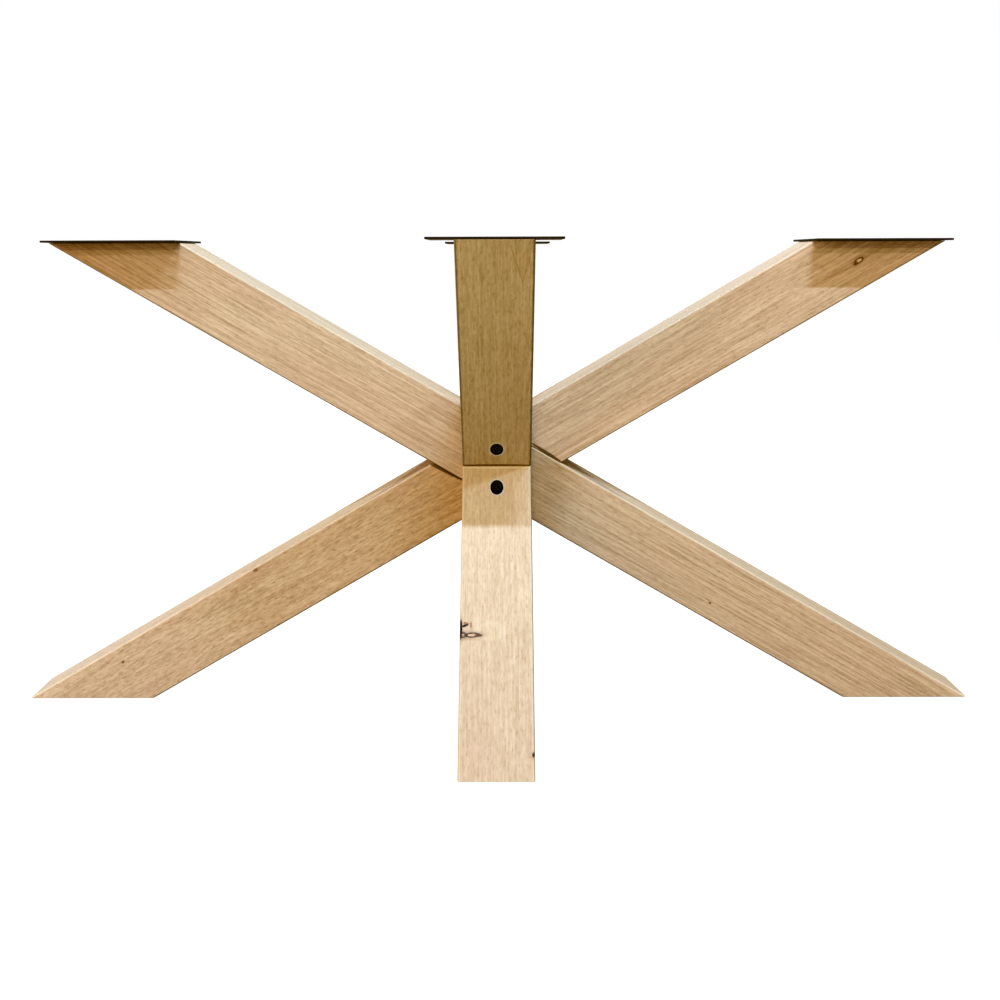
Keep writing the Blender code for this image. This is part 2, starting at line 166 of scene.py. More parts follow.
grainLook = {
    "slowWander": (2.2, 7, 7),
    "quickWander": (9, 45, 45),
    "quickReach": 0.003,  # metres
    "bandScale": 1.7,
    "bandDetail": 4.0,
    "bandRoughness": 0.75,
    "lineSharpness": 4.0,
    "lineVariety": 1.3,
    "lineBreaks": (9, 120, 120),
    "fibres": (9, 320, 320),
    "dashes": (75, 290, 290),
    "flecks": (100, 380, 380),
    "drift": (3.5, 16, 16),
    "middleTone": 0.55,
    "pinkShare": 0.7,
    "fleckShade": 0.25,
    "fleckDepth": 0.5,
}


def makeBeechGroup():
    tree, given, out = newGroup(
        "beechWood",
        [
            ("Vector", "vector", None),
            ("Pith", "vector", (0, 0, 0)),
            ("Lean", "vector", (0, 0, 0)),
            ("Wander", "number", 0.008),
            ("Ring Width", "number", 0.006),
            ("Seed", "number", 0.0),
            ("Pale", "colour", (0.62, 0.45, 0.29)),
            ("Dark", "colour", (0.47, 0.31, 0.18)),
            ("Pink", "colour", (0.58, 0.38, 0.26)),
            ("Figure", "number", 0.5),
            ("Line", "number", -0.3),
            ("Fibre", "number", 0.5),
            ("Fleck", "number", 0.5),
        ],
        [("Color", "colour"), ("Tone", "number"), ("Height", "number")],
    )
    place = given["Vector"]
    seed = given["Seed"]

    # Distance from the pith, which leans a little along the beam and wanders
    along = splitVector(tree, place)["X"]
    leaning = calcVector(tree, "SCALE", given["Lean"])
    setSocket(tree, leaning.node.inputs["Scale"], along)
    fromPith = calcVector(tree, "SUBTRACT", place, given["Pith"])
    fromPith = calcVector(tree, "SUBTRACT", fromPith, leaning)
    flat = calcVector(tree, "MULTIPLY", fromPith, (0, 1, 1))
    slow = noise(tree, place, grainLook["slowWander"], seed=seed)
    quick = noise(tree, place, grainLook["quickWander"], seed=seed)
    wander = calc(tree, "MULTIPLY", centred(tree, slow), given["Wander"])
    ripple = calc(tree, "MULTIPLY", centred(tree, quick), grainLook["quickReach"])
    shift = calc(tree, "ADD", wander, ripple)
    radius = calc(tree, "ADD", calcVector(tree, "LENGTH", flat), shift)
    turns = calc(tree, "DIVIDE", radius, given["Ring Width"])

    # Broad and narrow bands that follow the rings, and the thin line where each ring ends
    bands = addNode(
        tree, "ShaderNodeTexNoise", {"noise_dimensions": "1D"},
        W=calc(tree, "ADD", turns, seed), Scale=grainLook["bandScale"],
        Detail=grainLook["bandDetail"], Roughness=grainLook["bandRoughness"],
    ).outputs["Fac"]
    bands = spread(tree, bands, 0.3, 0.7)
    ringEnd = calc(tree, "POWER", calc(tree, "FRACT", turns), grainLook["lineSharpness"])
    ringNumber = calc(tree, "FLOOR", turns)
    ringDepth = addNode(
        tree, "ShaderNodeTexWhiteNoise", {"noise_dimensions": "1D"},
        W=calc(tree, "ADD", ringNumber, seed),
    ).outputs["Value"]
    breaks = noise(tree, place, grainLook["lineBreaks"], seed=seed)
    broken = calc(tree, "MULTIPLY", ringEnd, spread(tree, breaks, 0.35, 0.6, 0.15, 1.0))
    depth = calc(tree, "POWER", ringDepth, grainLook["lineVariety"])
    lines = calc(tree, "MULTIPLY", broken, depth)

    # Long fibres, short dashes, flecks and the slow drift of hue, each from a noise of its own
    fibres = noise(tree, place, grainLook["fibres"], roughness=0.6, seed=seed)
    dashSeed, driftSeed, fleckSeed = (calc(tree, "ADD", seed, step) for step in (3.0, 5.0, 7.0))
    dashes = noise(tree, place, grainLook["dashes"], roughness=0.6, seed=dashSeed)
    flecks = noise(tree, place, grainLook["flecks"], detail=1, seed=fleckSeed)
    flecks = spread(tree, flecks, 0.56, 0.68)
    drift = noise(tree, place, grainLook["drift"], seed=driftSeed)
    drift = spread(tree, drift, 0.35, 0.65)

    fleckShade = calc(tree, "MULTIPLY", flecks, grainLook["fleckShade"])
    dashes = calc(tree, "SUBTRACT", centred(tree, dashes), fleckShade)
    middleTone = grainLook["middleTone"]
    tone = calc(tree, "MULTIPLY_ADD", centred(tree, bands), given["Figure"], middleTone)
    tone = calc(tree, "MULTIPLY_ADD", lines, given["Line"], tone)
    tone = calc(tree, "MULTIPLY_ADD", centred(tree, fibres), given["Fibre"], tone)
    tone = calc(tree, "MULTIPLY_ADD", dashes, given["Fleck"], tone, clamp=True)
    pinkShare = calc(tree, "MULTIPLY", drift, grainLook["pinkShare"])
    pale = blendColour(tree, pinkShare, given["Pale"], given["Pink"])

    setSocket(tree, out["Color"], blendColour(tree, tone, given["Dark"], pale))
    setSocket(tree, out["Tone"], tone)
    fleckDepth = calc(tree, "MULTIPLY", flecks, grainLook["fleckDepth"])
    setSocket(tree, out["Height"], calc(tree, "SUBTRACT", tone, fleckDepth))
    return tree


# A knot, a stain or a crack: a rough-edged ellipsoid in the wood, given as a vector in its own
# radii. Its fill fades out at the edge, and a faint halo goes on beyond it.

markEdge = {
    "ragged": (3.2, 3.2, 3.2),
    "fill": (0.85, 1.1),
    "rimSoftness": 0.15,
    "halo": (0.9, 2.2),
    "haloShare": 0.28,
}


def makeMarkGroup():
    tree, given, out = newGroup(
        "woodMark",
        [
            ("Vector", "vector", None),
            ("Color", "colour", (0.5, 0.5, 0.5)),
            ("Height", "number", 0.0),
            ("Heart", "colour", (0.3, 0.2, 0.1)),
            ("Rim", "colour", (0.1, 0.05, 0.02)),
            ("Rim Width", "number", 0.25),
            ("Raggedness", "number", 0.3),
            ("Strength", "number", 1.0),
            ("Depth", "number", 0.0),
        ],
        [("Color", "colour"), ("Height", "number")],
    )
    place = given["Vector"]
    ragged = centred(tree, noise(tree, place, markEdge["ragged"], 3, 0.65))
    length = calcVector(tree, "LENGTH", place)
    reach = calc(tree, "MULTIPLY_ADD", ragged, given["Raggedness"], length)
    inner = oneMinus(tree, given["Rim Width"])
    fill = oneMinus(tree, spread(tree, reach, *markEdge["fill"]))
    rimStart = calc(tree, "SUBTRACT", inner, markEdge["rimSoftness"])
    rim = calc(tree, "MULTIPLY", fill, spread(tree, reach, rimStart, inner))
    halo = oneMinus(tree, spread(tree, reach, *markEdge["halo"]))
    halo = calc(tree, "MULTIPLY", halo, markEdge["haloShare"])
    colour = given["Color"]
    for share, over in ((halo, given["Rim"]), (fill, given["Heart"]), (rim, given["Rim"])):
        colour = blendColour(tree, calc(tree, "MULTIPLY", share, given["Strength"]), colour, over)
    setSocket(tree, out["Color"], colour)
    sunk = calc(tree, "MULTIPLY", rim, given["Depth"])
    setSocket(tree, out["Height"], calc(tree, "SUBTRACT", given["Height"], sunk))
    return tree


# A mask of the eased long edges, in metres from the corner

edgeMask = {"grain": (60, 400, 400), "roughness": 0.002, "full": 0.002}


def makeEdgeGroup():
    tree, given, out = newGroup(
        "easedEdges",
        [
            ("Vector", "vector", None),
            ("Half Sizes", "vector", (0, 0.05, 0.05)),
            ("Reach", "number", 0.004),
        ],
        [("Edge", "number")],
    )
    fromMiddle = calcVector(tree, "ABSOLUTE", given["Vector"])
    size = splitVector(tree, calcVector(tree, "SUBTRACT", given["Half Sizes"], fromMiddle))
    gap = calc(tree, "ADD", size["Y"], size["Z"])
    grain = centred(tree, noise(tree, given["Vector"], edgeMask["grain"], 2, 0.6))
    rough = calc(tree, "MULTIPLY_ADD", grain, edgeMask["roughness"], gap)
    away = spread(tree, rough, edgeMask["full"], given["Reach"])
    setSocket(tree, out["Edge"], oneMinus(tree, away))
    return tree


# Painted shade on the wall of a bore along Y, and a pale ring round its mouth as a painted
# highlight

boreEdge = {"shadedWall": 0.0006, "rim": 0.0008}  # metres over which each fades


def makeBoreGroup():
    tree, given, out = newGroup(
        "boreMouth",
        [
            ("Vector", "vector", None),
            ("Middle", "vector", (0, 0, 0)),
            ("Radius", "number", 0.01),
            ("Rim Width", "number", 0.003),
        ],
        [("Shaded Wall", "number"), ("Rim", "number")],
    )
    fromMiddle = calcVector(tree, "SUBTRACT", given["Vector"], given["Middle"])
    reach = calcVector(tree, "LENGTH", calcVector(tree, "MULTIPLY", fromMiddle, (1, 0, 1)))
    wallEnd = calc(tree, "ADD", given["Radius"], boreEdge["shadedWall"])
    rimEnd = calc(tree, "ADD", wallEnd, given["Rim Width"])
    rimFade = calc(tree, "SUBTRACT", rimEnd, boreEdge["rim"])
    setSocket(tree, out["Shaded Wall"], oneMinus(tree, spread(tree, reach, given["Radius"], wallEnd)))
    setSocket(tree, out["Rim"], oneMinus(tree, spread(tree, reach, rimFade, rimEnd)))
    return tree


beechGroup = makeBeechGroup()
markGroup = makeMarkGroup()
edgeGroup = makeEdgeGroup()
boreGroup = makeBoreGroup()
print("shared effects made")


# Where a beam lies, from the two pairs of long faces of its own mesh. The pair that stands
# upright faces along Y or X, and the other pair leans.

squareOn = 0.999


def beamFrame(node):
    areas = {}
    for face in node.data.polygons:
        look = face.normal.copy()
        if max(look, key=abs) < 0:
            look.negate()
        key = tuple(round(part, 3) for part in look)
        areas[key] = areas.get(key, 0) + face.area
    looks = sorted(areas, key=areas.get)[-2:]
    across = Vector(next(look for look in looks if max(look) > squareOn))
    through = Vector(next(look for look in looks if max(look) <= squareOn)).normalized()
    if through.z < 0:
        through.negate()
    along = across.cross(through).normalized()
    turn = Matrix((along, across, through)).transposed()
    spots = [turn.transposed() @ vertex.co for vertex in node.data.vertices]
    low = Vector([min(spot[axis] for spot in spots) for axis in range(3)])
    high = Vector([max(spot[axis] for spot in spots) for axis in range(3)])
    return turn, turn @ ((low + high) / 2), (high - low) / 2


# What each beam of beech looks like. Lengths are in metres, in the beam's own frame: along,
# across, through. Tints multiply the colour. The start and end tints at the two ends are fitted to
# how bright each beam shows along its length, so besides the wood's own drift they paint in
# light and shade: painted shade near the joint on the lower left beam and at the lower end of the
# front upper arm, painted light at the top end of the front lower arm. The top tint is a painted
# highlight on a face that looks well up. The tip tint is painted shade from the start to tipReach,
# where the left side plate casts its shadow, and the joint tint is painted shade beside the arms,
# from them to jointReach.
beamLooks = {
    "through_beam": {
        "pith": (0, 0.05, -0.13), "lean": (0, 0.01, 0.012), "wander": 0.012,
        "ringWidth": 0.0068, "seed": 2.0,
        "pale": (0.66, 0.48, 0.315), "dark": (0.40, 0.26, 0.15),
        "pink": (0.62, 0.42, 0.28),
        "figure": 0.3, "line": 0.5, "fibre": 2.1, "fleck": 0.9,
        "startWoodAndLightTint": (0.93, 1.00, 1.06), "endWoodAndLightTint": (0.86, 0.87, 0.87),
        "topLightTint": (1.06, 1.03, 0.99),
        "tipShadeTint": (0.92, 0.81, 0.69), "tipReach": 0.34,
        "jointShadeTint": (0.875, 0.835, 0.75), "jointReach": 0.11,
    },
    "upper_half_beam": {
        "pith": (0, 0.10, -0.12), "lean": (0, 0.01, 0.01), "wander": 0.010,
        "ringWidth": 0.0055, "seed": 5.0,
        "pale": (0.68, 0.49, 0.315), "dark": (0.42, 0.27, 0.155),
        "pink": (0.64, 0.435, 0.28),
        "figure": 0.28, "line": -0.45, "fibre": 1.9, "fleck": 1.0,
        "startWoodAndLightTint": (0.97, 0.98, 1.00), "endWoodAndLightTint": (0.97, 0.98, 1.02),
        "topLightTint": (1.04, 1.07, 1.10),
    },
    "lower_half_beam": {
        "pith": (0, -0.17, 0.02), "lean": (0, 0.02, 0.01), "wander": 0.014,
        "ringWidth": 0.008, "seed": 9.0,
        "pale": (0.63, 0.46, 0.30), "dark": (0.39, 0.25, 0.14),
        "pink": (0.60, 0.395, 0.25),
        "figure": 0.25, "line": -0.2, "fibre": 1.1, "fleck": 1.7,
        "startWoodAndLightTint": (0.97, 1.04, 1.13), "endWoodAndLightTint": (0.91, 0.90, 0.81),
        "topLightTint": (1.17, 1.18, 1.22),
    },
    "front_upper_arm": {
        "pith": (0, 0.034, -0.088), "lean": (0, 0.02, 0.035), "wander": 0.006,
        "ringWidth": 0.0055, "seed": 14.0,
        "pale": (0.64, 0.50, 0.315), "dark": (0.42, 0.30, 0.155),
        "pink": (0.62, 0.45, 0.28),
        "figure": 0.2, "line": -0.5, "fibre": 1.4, "fleck": 1.4,
        "startWoodAndLightTint": (0.80, 0.82, 0.83), "endWoodAndLightTint": (0.93, 1.00, 1.04),
    },
    "front_lower_arm": {
        "pith": (0, -0.02, -0.16), "lean": (0, 0.004, 0.006), "wander": 0.006,
        "ringWidth": 0.006, "seed": 21.0,
        "pale": (0.68, 0.475, 0.29), "dark": (0.48, 0.32, 0.18),
        "pink": (0.66, 0.445, 0.275),
        "figure": 0.16, "line": -0.2, "fibre": 1.4, "fleck": 1.3,
        "startWoodAndLightTint": (1.00, 1.07, 1.15), "endWoodAndLightTint": (0.86, 0.88, 0.90),
    },
    "rear_upper_arm": {
        "pith": (0, 0.10, 0.07), "lean": (0, 0.01, -0.03), "wander": 0.01,
        "ringWidth": 0.007, "seed": 27.0,
        "pale": (0.64, 0.47, 0.30), "dark": (0.41, 0.27, 0.155),
        "pink": (0.60, 0.40, 0.26),
        "figure": 0.3, "line": -0.3, "fibre": 1.3, "fleck": 0.8,
        "startWoodAndLightTint": (0.95, 0.97, 1.0), "endWoodAndLightTint": (1.0, 1.0, 1.0),
    },
    "rear_lower_arm": {
        "pith": (0, -0.09, -0.08), "lean": (0, 0.02, 0.02), "wander": 0.01,
        "ringWidth": 0.007, "seed": 33.0,
        "pale": (0.65, 0.47, 0.31), "dark": (0.42, 0.28, 0.16),
        "pink": (0.61, 0.41, 0.27),
        "figure": 0.3, "line": -0.3, "fibre": 1.2, "fleck": 0.8,
        "startWoodAndLightTint": (1.0, 1.0, 1.0), "endWoodAndLightTint": (0.93, 0.94, 0.95),
    },
}

# Knots, specks, slits, the dark lines of the joints and one painted highlight: where they are in
# the beam's own frame, how large and of what colour. Lengths are in metres, turn is in degrees.
markLooks = {
    "through_beam": [
        {"at": (-0.348, 0.0525, 0.050), "turn": (0, 0, 0), "radii": (0.021, 0.0022, 0.0028),
         "heart": (0.04, 0.02, 0.008), "rim": (0.10, 0.05, 0.02),
         "rimWidth": 0.3, "ragged": 0.5, "strength": 0.9, "depth": 0.0},
        {"at": (0.3598, -0.0525, -0.0244), "turn": (0, 0, 0), "radii": (0.0022, 0.002, 0.0014),
         "heart": (0.14, 0.06, 0.02), "rim": (0.25, 0.14, 0.06),
         "rimWidth": 0.3, "ragged": 0.3, "strength": 0.9, "depth": 0.0},
    ],
    "upper_half_beam": [
        {"at": (0.2604, -0.0525, -0.0104), "turn": (0, 0, 0), "radii": (0.019, 0.006, 0.0016),
         "heart": (0.30, 0.16, 0.06), "rim": (0.38, 0.22, 0.10),
         "rimWidth": 0.4, "ragged": 0.9, "strength": 0.4, "depth": 0.0},
        {"at": (0.2030, -0.0525, -0.0108), "turn": (0, 4, 0), "radii": (0.022, 0.006, 0.0016),
         "heart": (0.32, 0.17, 0.07), "rim": (0.40, 0.24, 0.11),
         "rimWidth": 0.4, "ragged": 0.9, "strength": 0.35, "depth": 0.0},
        {"at": (0.2351, -0.0525, -0.0098), "turn": (0, -4, 0), "radii": (0.0088, 0.006, 0.0042),
         "heart": (0.66, 0.46, 0.27), "rim": (0.10, 0.045, 0.012),
         "rimWidth": 0.42, "ragged": 0.5, "strength": 0.9, "depth": 0.5},
        {"at": (0.2290, -0.0525, -0.0112), "turn": (0, 0, 0), "radii": (0.0036, 0.004, 0.0026),
         "heart": (0.14, 0.06, 0.02), "rim": (0.20, 0.10, 0.04),
         "rimWidth": 0.4, "ragged": 0.6, "strength": 0.8, "depth": 0.0},
        {"at": (-0.3170, -0.0525, -0.0245), "turn": (0, 62.8, 0), "radii": (0.027, 0.004, 0.0022),
         "heart": (0.08, 0.035, 0.01), "rim": (0.14, 0.07, 0.025),
         "rimWidth": 0.3, "ragged": 0.2, "strength": 0.85, "depth": 0.0},
    ],
    "lower_half_beam": [
        {"at": (-0.2429, -0.0525, 0.0254), "turn": (0, -6, 0), "radii": (0.0030, 0.003, 0.0017),
         "heart": (0.10, 0.045, 0.015), "rim": (0.26, 0.14, 0.06),
         "rimWidth": 0.35, "ragged": 0.6, "strength": 0.85, "depth": 0.0},
        {"at": (0.020, -0.0525, 0.0455), "turn": (0, 0, 0), "radii": (0.0035, 0.004, 0.0022),
         "heart": (0.20, 0.10, 0.04), "rim": (0.18, 0.09, 0.03),
         "rimWidth": 0.35, "ragged": 0.5, "strength": 0.7, "depth": 0.0},
        {"at": (0.3565, -0.0525, 0.0330), "turn": (0, 58, 0), "radii": (0.033, 0.004, 0.0022),
         "heart": (0.08, 0.035, 0.01), "rim": (0.14, 0.07, 0.025),
         "rimWidth": 0.3, "ragged": 0.2, "strength": 0.85, "depth": 0.0},
    ],
    "front_upper_arm": [
        {"at": (0.1850, 0.0360, -0.050), "turn": (0, 0, 0), "radii": (0.028, 0.0075, 0.010),
         "heart": (0.62, 0.45, 0.29), "rim": (0.60, 0.43, 0.27),
         "rimWidth": 0.3, "ragged": 1.2, "strength": 0.15, "depth": 0.0},
        {"at": (0.1860, 0.0287, -0.050), "turn": (0, 0, -14.6), "radii": (0.033, 0.0011, 0.006),
         "heart": (0.32, 0.23, 0.10), "rim": (0.36, 0.26, 0.12),
         "rimWidth": 0.3, "ragged": 1.3, "strength": 0.36, "depth": 0.0},
        {"at": (0.1734, 0.0397, -0.050), "turn": (0, 0, 9.9), "radii": (0.019, 0.0010, 0.006),
         "heart": (0.32, 0.23, 0.10), "rim": (0.36, 0.26, 0.12),
         "rimWidth": 0.3, "ragged": 1.3, "strength": 0.32, "depth": 0.0},
        {"at": (-0.2098, -0.004, -0.050), "turn": (0, 0, 0), "radii": (0.0022, 0.056, 0.010),
         "heart": (0.12, 0.06, 0.018), "rim": (0.18, 0.10, 0.03),
         "rimWidth": 0.3, "ragged": 0.25, "strength": 0.85, "depth": 0.0},
    ],
    "front_lower_arm": [
        # painted highlight: a pale line along the lower arm's top edge at the seam, where the eased
        # edge catches the light
        {"at": (-0.2366, 0, 0.050), "turn": (0, 0, 0), "radii": (0.0018, 0.056, 0.006),
         "heart": (0.80, 0.66, 0.46), "rim": (0.70, 0.54, 0.35),
         "rimWidth": 0.3, "ragged": 0.2, "strength": 0.5, "depth": 0.0},
        {"at": (0.0355, -0.008, 0.050), "turn": (0, 0, 0), "radii": (0.015, 0.022, 0.012),
         "heart": (0.62, 0.50, 0.31), "rim": (0.60, 0.47, 0.29),
         "rimWidth": 0.2, "ragged": 1.2, "strength": 0.2, "depth": 0.0},
        {"at": (0.0488, -0.0370, 0.050), "turn": (0, 0, 0), "radii": (0.0018, 0.0145, 0.004),
         "heart": (0.46, 0.29, 0.16), "rim": (0.50, 0.33, 0.19),
         "rimWidth": 0.3, "ragged": 0.6, "strength": 0.45, "depth": 0.0},
        {"at": (0.0415, -0.0480, 0.050), "turn": (0, 0, 20), "radii": (0.0050, 0.0048, 0.006),
         "heart": (0.55, 0.36, 0.20), "rim": (0.05, 0.02, 0.005),
         "rimWidth": 0.5, "ragged": 1.0, "strength": 0.9, "depth": 0.4},
        {"at": (0.0417, -0.0350, 0.050), "turn": (0, 0, 3), "radii": (0.0041, 0.0120, 0.006),
         "heart": (0.52, 0.36, 0.21), "rim": (0.055, 0.022, 0.006),
         "rimWidth": 0.42, "ragged": 0.5, "strength": 0.95, "depth": 0.6},
        {"at": (0.0421, -0.0255, 0.050), "turn": (0, 0, 0), "radii": (0.0022, 0.0052, 0.004),
         "heart": (0.08, 0.032, 0.008), "rim": (0.16, 0.08, 0.03),
         "rimWidth": 0.4, "ragged": 0.7, "strength": 0.9, "depth": 0.3},
        {"at": (0.0320, -0.0512, 0.050), "turn": (0, 0, 0), "radii": (0.0150, 0.0021, 0.004),
         "heart": (0.020, 0.008, 0.002), "rim": (0.05, 0.02, 0.006),
         "rimWidth": 0.3, "ragged": 0.9, "strength": 1.0, "depth": 0.0},
        {"at": (0.0268, -0.0450, 0.050), "turn": (0, 0, 22), "radii": (0.0018, 0.0050, 0.003),
         "heart": (0.020, 0.008, 0.002), "rim": (0.06, 0.024, 0.008),
         "rimWidth": 0.3, "ragged": 0.9, "strength": 1.0, "depth": 0.3},
        {"at": (0.0232, -0.0440, 0.050), "turn": (0, 0, -10), "radii": (0.0014, 0.0036, 0.003),
         "heart": (0.30, 0.16, 0.07), "rim": (0.20, 0.09, 0.03),
         "rimWidth": 0.5, "ragged": 1.1, "strength": 0.8, "depth": 0.0},
        {"at": (0.0262, -0.0366, 0.050), "turn": (0, 0, 0), "radii": (0.0044, 0.0012, 0.003),
         "heart": (0.36, 0.19, 0.09), "rim": (0.30, 0.13, 0.05),
         "rimWidth": 0.45, "ragged": 1.1, "strength": 0.7, "depth": 0.0},
        {"at": (0.2191, 0.0510, 0.050), "turn": (0, 0, 0), "radii": (0.0040, 0.0026, 0.004),
         "heart": (0.06, 0.03, 0.012), "rim": (0.14, 0.08, 0.04),
         "rimWidth": 0.3, "ragged": 0.5, "strength": 0.9, "depth": 0.0},
        {"at": (0.2219, 0.0455, 0.050), "turn": (0, 0, 0), "radii": (0.0019, 0.0026, 0.003),
         "heart": (0.45, 0.26, 0.13), "rim": (0.50, 0.31, 0.17),
         "rimWidth": 0.3, "ragged": 0.4, "strength": 0.7, "depth": 0.0},
    ],
    "rear_upper_arm": [
        {"at": (0.06, 0.02, -0.050), "turn": (0, 0, 0), "radii": (0.009, 0.006, 0.008),
         "heart": (0.34, 0.19, 0.09), "rim": (0.14, 0.07, 0.03),
         "rimWidth": 0.35, "ragged": 0.5, "strength": 0.8, "depth": 0.4},
    ],
    "rear_lower_arm": [],
}

# The bores that show in the arms: how high they are, and the colours of the painted shade on
# their walls and the painted highlight on their rims
boreLook = {
    "heights": {
        "front_upper_arm": 0.409, "front_lower_arm": 0.351,
        "rear_upper_arm": 0.409, "rear_lower_arm": 0.351,
    },
    "radius": 0.0095, "rimWidth": 0.0022,
    "shadedWall": (0.018, 0.006, 0.075), "rim": (0.52, 0.48, 0.42), "rimHighlightShare": 0.75,
}

# What shows on every beam. A painted highlight runs pale along the long edges that look up,
# and painted shade runs dark along those that look down and those that look to the right.
# Sawn ends take more of the air's dirt than planed faces. lift is how far up a face looks and
# right how far to the right, from -1 to 1.
surfaceLook = {
    "edgeHighlight": {"share": 0.4, "colour": (0.74, 0.60, 0.41), "lift": (0.1, 0.4)},
    "edgeShade": {
        "share": 0.75, "colour": (0.09, 0.07, 0.05), "lift": (-0.25, -0.6), "right": (0.5, 0.65),
    },
    "sawnEnd": {"share": 0.45, "colour": (0.42, 0.28, 0.16), "facing": (0.3, 0.45)},
    # how far up a face must look to take the painted highlight of the top tint
    "topLift": (0.7, 0.8),
    # where the painted shade beside the arms starts and where it reaches full strength
    "jointShadeStart": (-0.04, 0.0),  # metres along the beam, hidden by the arms
    "jointShadeFull": 0.05,
    "roughness": (0.62, 0.46),  # of the darkest and of the palest wood
    "specular": 0.25,
    "bumpStrength": 0.35,
    "bumpDistance": 0.0006,
}


def tintBeam(tree, look, colour, along, half):
    # tints at the two ends: the wood's own drift together with painted light and shade along the
    # beam
    share = spread(tree, along, -half.x, half.x)
    colour = tinted(tree, colour, blendColour(tree, share, look["startWoodAndLightTint"], look["endWoodAndLightTint"]))
    # painted shade: the beam darkens from its start out to tipReach, where the side plate's shadow
    # falls
    if "tipShadeTint" in look:
        share = spread(tree, along, -half.x, look["tipReach"] - half.x)
        colour = blendColour(tree, share, tinted(tree, colour, look["tipShadeTint"]), colour)
    # painted shade: darker beside the arms, where they shade the beam
    if "jointShadeTint" in look:
        started = spread(tree, along, *surfaceLook["jointShadeStart"])
        notOver = spread(tree, along, look["jointReach"], surfaceLook["jointShadeFull"])
        share = calc(tree, "MULTIPLY", started, notOver)
        colour = blendColour(tree, share, colour, tinted(tree, colour, look["jointShadeTint"]))
    return colour


# painted light and shade on tops and edges, and the dirt of sawn ends
def paintLightAndDirt(tree, look, colour, place, turn, half):
    upper, under, sawn = (surfaceLook[part] for part in ("edgeHighlight", "edgeShade", "sawnEnd"))
    normal = addNode(tree, "ShaderNodeNewGeometry").outputs["True Normal"]
    facet = splitVector(tree, normal)
    lift = facet["Z"]
    # painted highlight: faces that look well up are made lighter, as where the light falls on them
    if "topLightTint" in look:
        share = spread(tree, lift, *surfaceLook["topLift"])
        colour = blendColour(tree, share, colour, tinted(tree, colour, look["topLightTint"]))

    edge = placeGroup(tree, edgeGroup, Vector=place, Half_Sizes=half)["Edge"]
    # painted highlight: pale along the eased edges that look up
    pale = calc(tree, "MULTIPLY", edge, spread(tree, lift, *upper["lift"]))
    # painted shade: dark along the eased edges that look down and those that look to the right
    low = spread(tree, lift, *under["lift"])
    low = calc(tree, "MAXIMUM", low, spread(tree, facet["X"], *under["right"]))
    shadedEdge = calc(tree, "MULTIPLY", edge, low)
    facing = calcVector(tree, "DOT_PRODUCT", normal, turn.col[0])
    dirty = spread(tree, calc(tree, "ABSOLUTE", facing), *sawn["facing"])
    for mask, kind in ((pale, upper), (shadedEdge, under), (dirty, sawn)):
        share = calc(tree, "MULTIPLY", mask, kind["share"])
        colour = blendColour(tree, share, colour, kind["colour"])
    return colour


def makeBeech(name):
    look = beamLooks[name]
    turn, middle, half = beamFrame(nodes[name])
    material, tree, shader = newMaterial("beech_" + name)
    place = addNode(
        tree, "ShaderNodeMapping", {"vector_type": "TEXTURE"},
        Vector=objectPlace(tree), Location=middle, Rotation=turn.to_euler(),
    ).outputs["Vector"]
    wood = placeGroup(
        tree, beechGroup, Vector=place, Pith=look["pith"], Lean=look["lean"],
        Wander=look["wander"], Ring_Width=look["ringWidth"], Seed=look["seed"],
        Pale=look["pale"], Dark=look["dark"], Pink=look["pink"], Figure=look["figure"],
        Line=look["line"], Fibre=look["fibre"], Fleck=look["fleck"],
    )
    colour = tintBeam(tree, look, wood["Color"], splitVector(tree, place)["X"], half)
    colour = paintLightAndDirt(tree, look, colour, place, turn, half)

    height = wood["Height"]
    for mark in markLooks[name]:
        spot = addNode(
            tree, "ShaderNodeMapping", {"vector_type": "TEXTURE"},
            Vector=place, Location=mark["at"], Scale=mark["radii"],
            Rotation=[math.radians(part) for part in mark["turn"]],
        ).outputs["Vector"]
        marked = placeGroup(
            tree, markGroup, Vector=spot, Color=colour, Height=height,
            Heart=mark["heart"], Rim=mark["rim"], Rim_Width=mark["rimWidth"],
            Raggedness=mark["ragged"], Strength=mark["strength"], Depth=mark["depth"],
        )
        colour, height = marked["Color"], marked["Height"]

    if name in boreLook["heights"]:
        bore = placeGroup(
            tree, boreGroup, Vector=objectPlace(tree),
            Middle=(0, 0, boreLook["heights"][name]), Radius=boreLook["radius"],
            Rim_Width=boreLook["rimWidth"],
        )
        # painted highlight: a pale ring round the bore's mouth
        rimHighlightShare = calc(tree, "MULTIPLY", bore["Rim"], boreLook["rimHighlightShare"])
        colour = blendColour(tree, rimHighlightShare, colour, boreLook["rim"])
        # painted shade: the bore's wall is darkened nearly to black, as the shade inside the hole
        colour = blendColour(tree, bore["Shaded Wall"], colour, boreLook["shadedWall"])

    setSocket(tree, shader.inputs["Base Color"], colour)
    roughness = spread(tree, wood["Tone"], 0.0, 1.0, *surfaceLook["roughness"])
    setSocket(tree, shader.inputs["Roughness"], roughness)
    shader.inputs["Specular IOR Level"].default_value = surfaceLook["specular"]
    addBump(tree, shader, surfaceLook, height)
    return material


for name in beamLooks:
    dress(nodes[name], makeBeech(name))
print("beams dressed:", len(beamLooks))


# The plates' thin black coating, a little cloudy. Stretches are in cycles per metre.
plateLook = {
    "coat": (0.030, 0.016, 0.019),
    "cloud": (0.044, 0.026, 0.031),
    "cloudStretch": (14, 14, 14),
    "speckStretch": (900, 900, 900),
    "roughness": (0.36, 0.5),
    "metallic": 0.6,
    "bumpStrength": 0.2,
    "bumpDistance": 0.0003,
}


